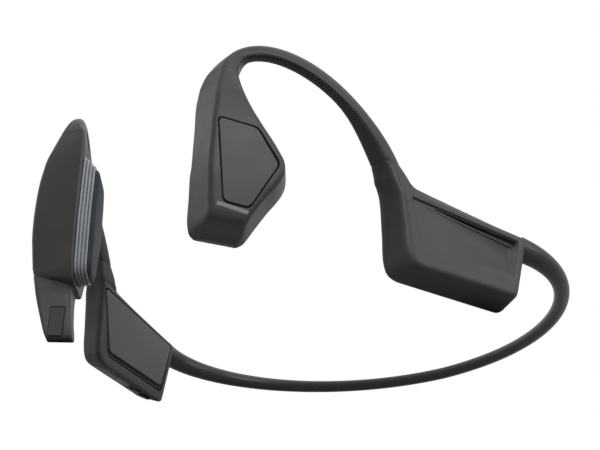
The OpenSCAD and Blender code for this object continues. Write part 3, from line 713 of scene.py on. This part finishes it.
modules = {}
for side in SIDES:
    shell = loft(f"{side}_module_shell", [worn(in_module(r), side) for r in filled(MODULE_RINGS)])
    carve(shell, slab("cavity_tool", CAVITY_IN, CAVITY_OUT, OPENING, in_module, side))
    carve(shell, slab("cover_tool", -HALF_THICK - 1, CAVITY_IN, rounded(COVER_GAP, 1.3), in_module, side))
    carve(shell, slab("panel_tool", HALF_THICK - PANEL_DEPTH, HALF_THICK + 1, PANEL, in_module, side))
    carve(shell, slab("slot_tool", HALF_THICK - SLOT_DEPTH, HALF_THICK + 1, SLOT, in_module, side))
    if side == "right":
        grown = pill(FLAP_LENGTH + 2 * CLEARANCE, FLAP_WIDTH + 2 * CLEARANCE)
        carve(shell, standing("port_tool", grown, PORT_END + CLEARANCE, side, [(-2, 0), (FLAP_SEAT, 0)]))
        for end in VOLUME_ENDS:
            grown = pill(VOLUME_LENGTH + 2 * CLEARANCE, VOLUME_WIDTH + 2 * CLEARANCE)
            carve(shell, standing("volume_tool", grown, end + CLEARANCE, side, [(-2, 0), (4, 0)]))
    soften(shell)
    modules[side] = shell

# %% Panels, covers and the controls under the right module
PANEL_FOOT = [[-2.6, -2.7], [-2.5, 5.8 - REAR_HEIGHT], [TIP + 1.8, 5.6 - FRONT_HEIGHT], [TIP - 2.7, -1.4]]
PANEL_RIM = [[-2.45, -2.8], [-2.4, 5.4 - REAR_HEIGHT], [TIP + 1.2, 5.1 - FRONT_HEIGHT], [TIP - 4, -1.35]]
PANEL_FLOOR = [[-4.6, -2.9], [-4.3, 6.1 - REAR_HEIGHT], [TIP + 1.7, 5.9 - FRONT_HEIGHT], [TIP - 3.4, -1.45]]
PANEL_ROUNDING, PANEL_LAP, PANEL_SINK = 0.5, 0.5, 0.46
SINK_RUN, UNDER_SLOT = 0.7, -3
RIM_SINK, LAP_SINK = 0.01, 0.04


def tilted_panel(side):
    """A pan that laps over the shell in front and below, and sinks towards the slot and the rear."""
    foot, rim, floor = [rounded(outline, PANEL_ROUNDING) for outline in (PANEL_FOOT, PANEL_RIM, PANEL_FLOOR)]
    rings = [[[HALF_THICK - depth, y, z] for y, z in foot] for depth in (PANEL_DEPTH, PANEL_SINK + 0.02)]
    for outline, lift, sink in ((rim, -0.01, RIM_SINK), (moved_in(rim, PANEL_LAP), 0.015, LAP_SINK),
                                (floor, 0.02, PANEL_SINK)):
        ring = []
        for y, z in outline:
            deepest = PANEL_SINK if z > UNDER_SLOT else sink
            ring.append([HALF_THICK + lift - deepest * ease((y - TIP) / (-TIP * SINK_RUN)), y, z])
        rings.append(ring)
    return loft(f"{side}_panel_face", [worn(in_module(r), side) for r in rings])


panels, covers = {}, {}
for side in SIDES:
    panels[side] = tilted_panel(side)
    smooth(panels[side], 40)
    levels = [(CAVITY_IN - SEAL, 0.0)] + edge_round(-HALF_THICK, -1, 0.2)
    covers[side] = cushion(f"{side}_inner_cover", rounded(COVER, 1.1), in_module, side, levels)
    smooth(covers[side], 40)

flap = standing("charging_flap", pill(FLAP_LENGTH, FLAP_WIDTH), PORT_END, "right",
                edge_round(0, -1, 0.25)[::-1] + [(FLAP_THICK, 0.0)])
smooth(flap, 40)
buttons = []
for name, end in zip(("volume_up_key", "volume_down_key"), VOLUME_ENDS):
    levels = edge_round(-VOLUME_PROUD, -1, 0.3)[::-1] + [(1.9, 0.0)]
    buttons.append(standing(name, pill(VOLUME_LENGTH, VOLUME_WIDTH), end, "right", levels))
    smooth(buttons[-1], 40)

# %% [markdown]
# ## The strip with a painted highlight
# Below its plate each pod has a slim strip where the shell's face breaks, painted light grey for
# the highlight that falls on that break. It lies on a surface that is already built, so its ends
# come from the photograph: a ray from the camera through each image point finds the shell, and
# the other side's strip mirrors it.

# %% From the picture to a surface
def placed(x, y, carrier):
    """Where a ray from the camera through a pixel meets a piece, and the surface's normal there."""
    bpy.context.view_layer.update()
    tree = BVHTree.FromObject(carrier, bpy.context.evaluated_depsgraph_get())
    size = max(WIDTH, HEIGHT)
    ray = Vector((x - WIDTH / 2 + camera_data.shift_x * size, HEIGHT / 2 - y + camera_data.shift_y * size,
                  -size * camera_data.lens / camera_data.sensor_width))
    ray = (camera.matrix_world.to_3x3() @ ray).normalized()
    eye = camera.matrix_world.translation
    point, normal = tree.ray_cast(eye, ray)[:2]
    if point is None:
        passed = [tree.find_nearest(eye + ray * d) for d in np.linspace(0.4, 0.7, 61)]
        point, normal = min(passed, key=lambda hit: hit[3])[:2]
    return np.array(point), np.array(normal)


# %% Strips
STRIP_WIDTH, STRIP_PROUD, STRIP_DEPTH = 0.95, 0.12, 0.6
outwards = placed(*POINTS["strip_middle"], shells["left"])[1]
ends = [placed(*POINTS[name], shells["left"])[0] for name in ("strip_front", "strip_rear")]
strips = {}
for side, sign in SIDES.items():
    start, end = [point * np.array([sign, 1, 1]) for point in ends]
    out = outwards * np.array([sign, 1, 1])
    along_strip = (end - start) / np.linalg.norm(end - start)
    out = out - along_strip * (out @ along_strip)
    out /= np.linalg.norm(out)
    across = np.cross(out, along_strip)
    section = rounded([[-STRIP_WIDTH / 2, -STRIP_DEPTH], [STRIP_WIDTH / 2, -STRIP_DEPTH],
                       [STRIP_WIDTH / 2, STRIP_PROUD], [-STRIP_WIDTH / 2, STRIP_PROUD]], 0.14, 3) / 1000
    rings = [[start + (end - start) * share + across * a + out * b for a, b in section]
             for share in (0, 0.5, 1)]
    # The strip's light grey finish is a painted highlight on the break in the shell's face.
    strips[side] = loft(f"{side}_satin_strip", rings)
    smooth(strips[side], 40)
print("the strips are", round(np.linalg.norm(ends[1] - ends[0]) * 1000, 1), "mm long")

# %% [markdown]
# ## Neckband
# The band is a sprung wire in a glossy sleeve that bends as the headset opens; here its halves
# keep their rest shape.

# %% Band halves
BAND_THICK, JUNCTION_THICK = 2.9, 5.8
BAND_END = in_module([[0, 0, -0.5]])[0]
BAND = [np.array([0, 0, 0.0]), np.array([128 * 0.33, 0, 0.5]),
        BAND_END + MODULE_TURN @ np.array([0.5, 21.5, 0]), BAND_END]
BEND_AT, BEND_REACH = 0.45, 14


def band_ring(t, size, count, shift):
    way = speed(BAND, t)
    way /= np.linalg.norm(way)
    side = np.array([way[1], -way[0], 0])
    turns = np.linspace(0, 2 * math.pi, count, endpoint=False)
    return (along(BAND, t) - np.outer(size / 2 * np.cos(turns) + shift, side)
            + np.outer(size / 2 * np.sin(turns), [0, 0, 1]))


def strand(name, side, stations, size, count, shift=0.0):
    sizes = [size(t) if callable(size) else size for t in stations]
    return loft(name, [worn(band_ring(t, s, count, shift), side) for t, s in zip(stations, sizes)])


def band_size(t):
    return BAND_THICK + (JUNCTION_THICK - BAND_THICK) * t ** 2.8


def bend(obj, side):
    middle, way = along(BAND, BEND_AT), speed(BAND, BEND_AT)
    way = way / np.linalg.norm(way)
    start, end = worn([middle - way * BEND_REACH, middle + way * BEND_REACH], side)
    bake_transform(obj)


bands, strands = {}, {}
for side in SIDES:
    bands[side] = strand(f"{side}_band_sleeve", side, np.linspace(0, 1, 97), band_size, 36)
    smooth(bands[side], 60)
    strands[side] = [
        strand(f"{side}_memory_wire", side, np.linspace(0, 1.02, 50), 0.9, 10, 0.35),
        strand(f"{side}_band_cable", side, np.linspace(0, 1.02, 50), 0.5, 8, -0.45)]
    for piece in strands[side]:
        smooth(piece, 60)

# %% [markdown]
# ## Bodies
# Each new piece but the band's rides on the CAD body that carries it, and the CAD nodes it stands for are
# hidden.
# The inner parts keep their CAD shape, since they are plain stampings and boards out of sight.

# %% Ride and replace
CARRIED = [(shells, "side", "pod_housing", "charcoal_shell"),
           (modules, "side", "module_housing", "charcoal_shell"),
           (panels, "side", "outer_panel", "outer_panel"),
           (covers, "side", "module_cover", "inner_cover"),
           (hooks, "side", "ear_hook", "soft_hook"),
           (pads, "pad", "contact_pad", "pad_rubber")]
for side in SIDES:
    for group, body, node, slot in CARRIED:
        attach(group[side], f"{side}_{body}")
        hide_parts(f"{side}_{node}")
    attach(strips[side], f"{side}_side")
    for piece, name in zip((bands[side], *strands[side]), ("band_sleeve", "memory_alloy", "cable_jacket")):
        bend(piece, side)
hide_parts("neckband_sleeve", "left_neckband_sleeve")
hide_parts("right_neckband_sleeve")
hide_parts("memory_wire")
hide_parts("neckband_cable")
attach(plates["left"], "multifunction_button")
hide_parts("multifunction_button")
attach(plates["right"], "right_side")
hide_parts("right_pod_plate")
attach(flap, "port_cover")
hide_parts("port_cover")
for piece, name in zip(buttons, ("volume_up_button", "volume_down_button")):
    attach(piece, name)
    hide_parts(name)

# %% Bellows ride on their sides
for side in SIDES:
    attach(bellows[side], f"{side}_side")
    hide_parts(f"{side}_bellows")
    drive = np.array(joints[f"{side}_pad_drive"]["axis"])
    anchor = worn(in_pod([[POD_IN, 4, 0]]), side)[0]
    travel = joints[f"{side}_pad_drive"]["range_m"][1] * 1000
    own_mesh(bellows[side], f"{side}_pad_drive", axis=tuple(drive), anchor=tuple(anchor),
              keep=1 - travel / BELLOWS_DEPTH)

# %% [markdown]
# ## Finishes
# Shader sums read best as sums, so one small class wraps a socket and lets +, -, * and / add the
# Math nodes. Everything that isn't a value goes through one method that makes a node.

# %% A socket that does sums
class Wire:
    """A node socket, or a number, in a material's tree."""

    def __init__(self, tree, socket):
        self.tree, self.socket = tree, socket

    def node(self, kind, settings=None, **values):
        """A node of this kind: its settings first, then the values or wires of its sockets."""
        made = self.tree.nodes.new(kind)
        for key, value in (settings or {}).items():
            setattr(made, key, value)
        for key, value in values.items():
            numbered = key[0] == "i" and key[1:].isdigit()
            socket = made.inputs[int(key[1:]) if numbered else key.replace("_", " ")]
            if isinstance(value, Wire):
                self.tree.links.new(value.socket, socket)
            else:
                socket.default_value = value
        return made

    def math(self, operation, other=0.0, flipped=False):
        pair = (other, self) if flipped else (self, other)
        made = self.node("ShaderNodeMath", {"operation": operation}, i0=pair[0], i1=pair[1])
        return Wire(self.tree, made.outputs[0])

    def __add__(self, other): return self.math("ADD", other)
    def __sub__(self, other): return self.math("SUBTRACT", other)
    def __rsub__(self, other): return self.math("SUBTRACT", other, flipped=True)
    def __mul__(self, other): return self.math("MULTIPLY", other)
    def __truediv__(self, other): return self.math("DIVIDE", other)

    def between(self, low, high):
        made = self.node("ShaderNodeMapRange", {"interpolation_type": "SMOOTHSTEP"},
                         Value=self, From_Min=low, From_Max=high)
        return Wire(self.tree, made.outputs["Result"])

    def noise(self, size, detail=3.0):
        """Noise with features of about this size in millimetres."""
        made = self.node("ShaderNodeTexNoise", Vector=self, Scale=1000 / size, Detail=detail)
        return Wire(self.tree, made.outputs[0])

    def cells(self, size):
        made = self.node("ShaderNodeTexVoronoi", Vector=self, Scale=1000 / size)
        return Wire(self.tree, made.outputs["Distance"])

    def colours(self, low, high):
        return self.blend((*low, 1), (*high, 1))

    def blend(self, low, high):
        """From one colour to another, each a wire or four numbers."""
        made = self.node("ShaderNodeMix", {"data_type": "RGBA"}, i0=self, i6=low, i7=high)
        return Wire(self.tree, made.outputs[2])

    def bump(self, height_mm, strength=0.5):
        made = self.node("ShaderNodeBump", Height=self, Distance=height_mm / 1000, Strength=strength)
        return Wire(self.tree, made.outputs[0])


MATT = 0.2
MOTTLE_SIZE, RUB_SIZE = 9.0, 3.5


def finish_named(name, recipe, **plain):
    """A material whose recipe gets the object coordinates and returns the changing inputs."""
    material = bpy.data.materials.new(name)
    material.use_nodes = True
    tree = material.node_tree
    shader = tree.nodes["Principled BSDF"]
    for key, value in {"Specular_IOR_Level": MATT, **plain}.items():
        shader.inputs[key.replace("_", " ")].default_value = value
    place = Wire(tree, tree.nodes.new("ShaderNodeTexCoord").outputs["Object"])
    for key, value in recipe(place).items():
        tree.links.new(value.socket, shader.inputs[key])
    return material


# %% [markdown]
# The shells are a charcoal plastic with a spark-eroded grain: a tight bump, and slightly uneven
# gloss where hands polish it. The hooks are silicone, without the grain and a touch darker.

# %% Moulded finishes
def moulded(low, high, rough, grain, depth):
    """A moulded skin: mottled between two greys, with a grain of this size and depth in mm."""
    def recipe(place):
        mottle = place.noise(MOTTLE_SIZE, 4.0).between(0.3, 0.7)
        rub = place.noise(RUB_SIZE, 2.0)
        eroded = place.noise(grain, 2.0) * 0.7 + place.cells(grain * 1.6) * 0.3
        changing = {"Base Color": mottle.colours(low, high),
                    "Roughness": rub * 0.1 + (rough - 0.05) + mottle * 0.04}
        if depth > 0:
            changing["Normal"] = eroded.bump(depth)
        return changing
    return recipe


DIMPLE_PITCH, ROW_PITCH, DIMPLE_SIZE = 0.95, 0.72, 0.24


def dimpled(low, high, rough):
    """Silicone with staggered rows of dimples, by each point's place along and across the hook; painted shade
    darkens each dimple's colour.
    """
    def recipe(place):
        mark = Wire(place.tree, place.node("ShaderNodeAttribute", {"attribute_name": MARK}).outputs["Vector"])
        parts = mark.node("ShaderNodeSeparateXYZ", i0=mark).outputs
        gone, across, there = [Wire(place.tree, part) for part in parts]
        row = (across / ROW_PITCH).math("ROUND")
        step = gone / DIMPLE_PITCH + row * 0.5
        near_x = (step - step.math("ROUND")) * DIMPLE_PITCH
        near_y = across - row * ROW_PITCH
        away = (near_x * near_x + near_y * near_y).math("SQRT")
        dent_and_shade = (1 - away.between(DIMPLE_SIZE * 0.6, DIMPLE_SIZE * 1.3)) * there
        mottle = place.noise(MOTTLE_SIZE, 4.0).between(0.3, 0.7)
        # Each dimple's colour is darkened to a quarter of the silicone's: painted shade in the dent.
        return {"Base Color": dent_and_shade.blend(mottle.colours(low, high), (*[v * 0.25 for v in low], 1)),
                "Roughness": place.noise(RUB_SIZE, 2.0) * 0.1 + (rough - 0.05) + dent_and_shade * 0.2,
                "Normal": (1 - dent_and_shade).bump(0.2, 1.0)}
    return recipe


def grey(level, blue=0.0):
    return (level, level + blue * 0.4, level + blue)


MOULDED = [
    ("charcoal_shell", "charcoal plastic", grey(0.030), grey(0.035, 0.001), 0.44, 0.22, 0.010),
    ("outer_panel", "panel plastic", grey(0.030), grey(0.035, 0.001), 0.44, 0.22, 0.010),
    ("touch_plate", "plate plastic", grey(0.028), grey(0.033, 0.001), 0.42, 0.2, 0.006),
    ("inner_cover", "cover plastic", grey(0.075), grey(0.082, 0.001), 0.48, 0.24, 0.010),
    ("pad_rubber", "pad silicone", grey(0.020, 0.008), grey(0.025, 0.010), 0.6, 0.2, 0.006),
    ("bellows_rubber", "bellows silicone", grey(0.22, 0.03), grey(0.25, 0.032), 0.5, 0.2, 0.006),
    ("slate_rubber", "slate silicone", grey(0.050, 0.016), grey(0.056, 0.018), 0.42, 0.2, 0.006),
    ("slate_plastic", "slate plastic", grey(0.050, 0.014), grey(0.056, 0.016), 0.38, 0.2, 0.006),
    ("band_sleeve", "glossy sleeve", grey(0.016), grey(0.018), 0.38, 0.5, 0),
    ("cable_jacket", "cable jacket", (0.2, 0.02, 0.02), (0.24, 0.03, 0.03), 0.45, 0.3, 0.004),
    ("seal_rubber", "seal rubber", grey(0.020), grey(0.026), 0.6, 0.3, 0.006),
    ("circuit_board", "solder mask", (0.01, 0.09, 0.045), (0.015, 0.12, 0.06), 0.35, 0.6, 0.01),
    ("acoustic_mesh", "acoustic mesh", grey(0.007), grey(0.011), 0.35, 0.3, 0.02),
    # The strip's light grey is a painted highlight.
    ("painted_highlight_strip", "strip painted highlight", grey(0.16), grey(0.18), 0.4, 0.2, 0.003),
]
SHEEN = {"pad_rubber": {"Specular_IOR_Level": 0.1},
         "band_sleeve": {"Coat_Roughness": 0.25, "Coat_Weight": 0.04}}
FINISHES = {slot: finish_named(name, moulded(*look), **SHEEN.get(slot, {})) for slot, name, *look in MOULDED}
FINISHES["soft_hook"] = finish_named("hook silicone", dimpled(grey(0.028), grey(0.033, 0.001), 0.46))


# %% Metal finishes of the inner parts
def drawn(low, high, rough, grain):
    """Metal with fine uneven gloss, as drawn wire, stampings and foil have."""
    def recipe(place):
        streak = place.noise(grain, 3.0)
        return {"Base Color": streak.between(0.3, 0.7).colours(low, high),
                "Roughness": streak * 0.15 + rough, "Normal": streak.bump(0.004)}
    return recipe


DRAWN = [
    ("memory_alloy", "memory alloy", (0.5, 0.5, 0.5), (0.6, 0.6, 0.61), 0.25, 0.4),
    ("battery_foil", "battery foil", (0.55, 0.55, 0.56), (0.65, 0.65, 0.66), 0.3, 0.9),
    ("plated_steel", "plated steel", (0.56, 0.56, 0.57), (0.64, 0.64, 0.65), 0.2, 0.5),
    ("magnet", "nickel", (0.5, 0.5, 0.5), (0.56, 0.55, 0.54), 0.12, 0.8),
    ("coil_bobbin", "wound copper", (0.5, 0.25, 0.1), (0.62, 0.33, 0.15), 0.3, 0.2),
]
for slot, name, *look in DRAWN:
    FINISHES[slot] = finish_named(name, drawn(*look), Metallic=1.0)

# %% Dress every piece and every carried-over node
node_slots = {part["node"]: part["material_slot"] for part in frame["record"]["subparts"]}


def dress(obj, slot):
    obj.data.materials.clear()
    obj.data.materials.append(FINISHES[slot])


for name, node in frame["nodes"].items():
    dress(node, node_slots[name])
dressed = [(shells, "charcoal_shell"), (modules, "charcoal_shell"), (panels, "outer_panel"),
           (covers, "inner_cover"), (hooks, "soft_hook"), (pads, "pad_rubber"),
           (bellows, "bellows_rubber"), (plates, "touch_plate"), (bands, "band_sleeve"),
           (strips, "painted_highlight_strip")]
for group, slot in dressed:
    for piece in group.values():
        dress(piece, slot)
for pair in strands.values():
    dress(pair[0], "memory_alloy")
    dress(pair[1], "cable_jacket")
dress(flap, "slate_rubber")
for piece in buttons:
    dress(piece, "slate_plastic")

# %% [markdown]
# ## Stage and light
# The headset rests on a pale floor, but the photograph looks up at it from below. So the floor's
# underside is clear to the camera and to what metal and glass mirror, and from above it is a plain
# table. The background is white to those rays alone. Four softboxes light the object: a key from
# the left, one in front, a broad one above, and a weak one that lifts the far walls.

# %% Floor and world
def seen_directly(tree):
    """1 for the rays that show the background: the camera's, and those in metal and glass."""
    kinds = tree.nodes.new("ShaderNodeLightPath").outputs
    camera_ray, glossy, through = [Wire(tree, kinds[f"Is {kind} Ray"])
                                   for kind in ("Camera", "Glossy", "Transmission")]
    return camera_ray.math("MAXIMUM", glossy).math("MAXIMUM", through)


bpy.ops.object.select_all(action="DESELECT")
bpy.ops.mesh.primitive_plane_add(size=3, location=(0, 0, -0.0002))
floor = bpy.context.active_object
floor.name = "floor"
floor_finish = bpy.data.materials.new("pale floor")
floor_finish.use_nodes = True
tree = floor_finish.node_tree
base = tree.nodes["Principled BSDF"]
base.inputs["Roughness"].default_value = 0.7
start = seen_directly(tree)
tree.links.new(start.colours(grey(0.25), grey(0.8)).socket, base.inputs["Base Color"])
below = start * Wire(tree, tree.nodes.new("ShaderNodeNewGeometry").outputs["Backfacing"])
clear = Wire(tree, tree.nodes.new("ShaderNodeBsdfTransparent").outputs[0])
mixed = start.node("ShaderNodeMixShader", i0=below, i1=Wire(tree, base.outputs[0]), i2=clear)
tree.links.new(mixed.outputs[0], tree.nodes["Material Output"].inputs["Surface"])
floor.data.materials.append(floor_finish)
floor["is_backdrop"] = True

world = bpy.data.worlds.new("studio")
bpy.context.scene.world = world
world.use_nodes = True
tree = world.node_tree
plain = tree.nodes["Background"]
plain.inputs["Color"].default_value = (1, 1, 1, 1)
plain.inputs["Strength"].default_value = 0.02
white = tree.nodes.new("ShaderNodeBackground")
white.inputs["Color"].default_value = (1, 1, 1, 1)
white.inputs["Strength"].default_value = 1.0
start = seen_directly(tree)
dim, bright = Wire(tree, plain.outputs[0]), Wire(tree, white.outputs[0])
mixed = start.node("ShaderNodeMixShader", i0=start, i1=dim, i2=bright)
tree.links.new(mixed.outputs[0], tree.nodes["World Output"].inputs["Surface"])


# %% Softboxes
LIT_MIDDLE = Vector((0, 0, 0.03))


def softbox(name, place, size, watts):
    light = bpy.data.lights.new(name, "AREA")
    light.size = size
    light.energy = watts
    lamp = bpy.data.objects.new(name, light)
    bpy.context.scene.collection.objects.link(lamp)
    lamp.location = place
    lamp.rotation_mode = "QUATERNION"
    lamp.rotation_quaternion = (LIT_MIDDLE - Vector(place)).to_track_quat("-Z", "Y")


softbox("key", (0.85, 0.35, 0.4), 0.5, 4.5)
softbox("front", (0.68, -0.62, 0.55), 0.45, 8)
softbox("overhead", (0.1, 0.1, 0.9), 0.8, 3.8)
softbox("rim", (-0.9, -0.1, 0.35), 0.4, 0.4)

# %% [markdown]
# ## Checks
# How far each named thing shows from its image point says how true the result is, and it is printed.

# %% Where things show
def on_picture(points):
    """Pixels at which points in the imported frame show."""
    points = np.asarray(points, float)
    inverse = np.array(camera.matrix_world.inverted())
    seen = points @ inverse[:3, :3].T + inverse[:3, 3]
    return np.stack([WIDTH / 2 - FOCAL_PIXELS * seen[:, 0] / seen[:, 2],
                     HEIGHT / 2 + FOCAL_PIXELS * seen[:, 1] / seen[:, 2]], 1)


def shown(pieces):
    """The pixels of every finished vertex of these pieces."""
    depsgraph = bpy.context.evaluated_depsgraph_get()
    corners = []
    for obj in pieces:
        made = obj.evaluated_get(depsgraph).to_mesh()
        flat = np.zeros(len(made.vertices) * 3)
        made.vertices.foreach_get("co", flat)
        corners.append(flat.reshape(-1, 3))
    return on_picture(np.concatenate(corners))


def furthest(pieces, x, y):
    """The pixel furthest along a direction, which is where a silhouette turns its corner."""
    pixels = shown(pieces)
    return pixels[np.argmax(pixels @ np.array([x, y]))]


def pod_spot(x, y, z, side="left"):
    return on_picture(worn(in_pod([[x, y, z]]), side))[0]


def module_spot(x, y, z, side="left"):
    return on_picture(worn(in_module([[x, y, z]]), side))[0]


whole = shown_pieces()
strip_mid = (ends[0] + ends[1]) / 2
seen_at = {
    "left_extent": furthest(whole, -1, 0) * [1, np.nan],
    "right_extent": furthest(whole, 1, 0) * [1, np.nan],
    "top_extent": furthest(whole, 0, -1) * [np.nan, 1],
    "bottom_extent": furthest(whole, 0, 1) * [np.nan, 1],
    "left_hook_top": furthest([hooks["left"]], 0, -1),
    "left_hook_pod_seam": pod_spot(0.6, -2.2, neck_ring()[3][2]),
    "plate_upper_front": pod_spot(PLATE_FACE, *PLATE[0]),
    "plate_rear": pod_spot(PLATE_FACE, *PLATE[3]),
    "plate_lower_rear": pod_spot(PLATE_FACE, *PLATE[2]),
    "strip_front": furthest([strips["left"]], -1, -0.3),
    "strip_middle": on_picture([strip_mid])[0],
    "strip_rear": furthest([strips["left"]], 1, 0.3),
    "left_pod_bottom": furthest([shells["left"]], 0, 1),
    "left_hook_module_seam": module_spot(2.7, -STEM_RAKE + 2.1, SEAM_HEIGHT),
    "left_module_low_corner": furthest([modules["left"]], -1, 1),
    "left_module_upper_rear": module_spot(HALF_THICK, 0, 0),
    "right_hook_top": furthest([hooks["right"]], 0, -1),
    "right_chin_bottom": pod_spot(-2.3, 1.2, CHIN_TOP - CHIN_LENGTH, "right"),
    "right_hook_module_seam": module_spot(-3.7, -STEM_RAKE, SEAM_HEIGHT, "right"),
    "right_module_low_corner": module_spot(0, -1.5, -REAR_HEIGHT, "right"),
}
gaps = {name: [None if a is None else round(float(b) - a, 1) for a, b in zip(point, seen_at[name])]
        for name, point in POINTS.items()}
print("off the image points, in pixels:", gaps)

# %% Finish
bpy.context.scene.view_settings.view_transform = "Standard"
